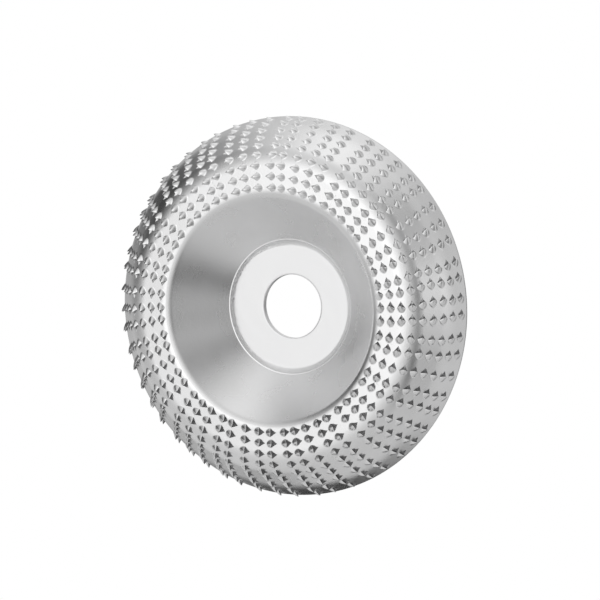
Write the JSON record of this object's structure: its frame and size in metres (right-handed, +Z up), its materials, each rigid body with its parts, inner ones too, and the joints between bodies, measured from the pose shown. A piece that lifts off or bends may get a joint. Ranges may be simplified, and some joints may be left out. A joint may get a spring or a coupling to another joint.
{
  "type": "angle grinder carving disc",
  "caption": "Dished steel wood carving disc for an angle grinder: rounded crown and conical skirt covered in rasp teeth, flat hub with a spindle bore.",
  "frame": {"origin": "centre of the spindle bore, midway through the hub plate", "axes": "+Y along the spindle axis towards the grinder, -Y out of the toothed working face, +Z up, +X to the right seen from the working face"},
  "size_m": [0.0959, 0.0157, 0.0959],
  "materials": {
    "shell_steel": "bright zinc-plated pressed steel, satin, with fine brushed streaks",
    "hub_steel": "bright flat plated steel",
    "seam_metal": "slightly rough plated filler metal",
    "tooth_steel": "punched steel, satin flanks and dark undercuts"
  },
  "bodies": {
    "root": {"pressed_shell": "shell_steel", "hub_plate": "hub_steel", "front_seam": "seam_metal", "rear_weld": "seam_metal", "tooth_ring_01": "tooth_steel", "tooth_ring_02": "tooth_steel", "tooth_ring_03": "tooth_steel", "tooth_ring_04": "tooth_steel", "tooth_ring_05": "tooth_steel", "tooth_ring_06": "tooth_steel", "tooth_ring_07": "tooth_steel", "tooth_ring_08": "tooth_steel", "tooth_ring_09": "tooth_steel"}
  },
  "joints": []
}
